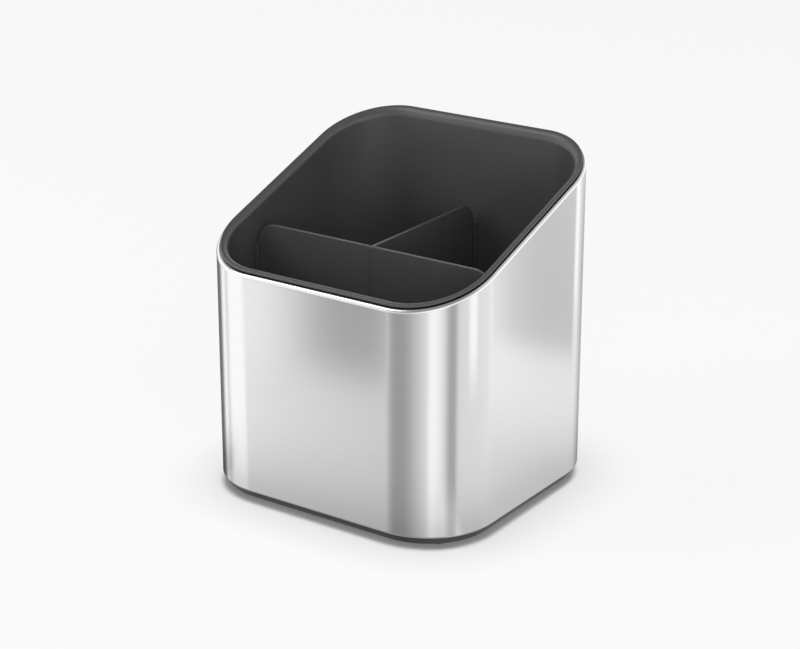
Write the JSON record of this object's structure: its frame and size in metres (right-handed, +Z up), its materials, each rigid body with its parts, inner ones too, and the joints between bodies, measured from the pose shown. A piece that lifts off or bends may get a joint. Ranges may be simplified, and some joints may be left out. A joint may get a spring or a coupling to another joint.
{
  "type": "utensil caddy",
  "caption": "Slant-topped utensil caddy: brushed steel sleeve on a dark plinth with soft feet, and a lift-out plastic pot split by a T of removable panels.",
  "frame": {"origin": "middle of the footprint, on the surface that the feet stand on", "axes": "+Z up; the low front of the slanted mouth faces -Y and the high back faces +Y; +X to the right seen from the front"},
  "size_m": [0.135, 0.126, 0.1505],
  "materials": {
    "brushed_steel": "satin stainless sheet, finely brushed round the sleeve",
    "dark_plastic": "dark grey moulded polypropylene, fine matt texture",
    "soft_rubber": "soft matt elastomer",
    "screw_steel": "zinc-plated steel"
  },
  "bodies": {
    "shell": {"steel_sleeve": "brushed_steel", "base_plinth": "dark_plastic", "drip_tray": "dark_plastic", "base_screws": "screw_steel", "foot_front_left": "soft_rubber", "foot_front_right": "soft_rubber", "foot_back_left": "soft_rubber", "foot_back_right": "soft_rubber"},
    "pot": {"inner_pot": "dark_plastic"},
    "cross_panel": {"cross_divider": "dark_plastic"},
    "rear_panel": {"rear_divider": "dark_plastic"}
  },
  "joints": [
    {"name": "pot_lift", "type": "slide", "parent": "shell", "child": "pot", "axis": [0, 0, 1], "range_m": [0, 0.15]},
    {"name": "cross_lift", "type": "slide", "parent": "pot", "child": "cross_panel", "axis": [0, 0, 1], "range_m": [0, 0.145]},
    {"name": "rear_lift", "type": "slide", "parent": "cross_panel", "child": "rear_panel", "axis": [0, 0, 1], "range_m": [0, 0.145]}
  ]
}
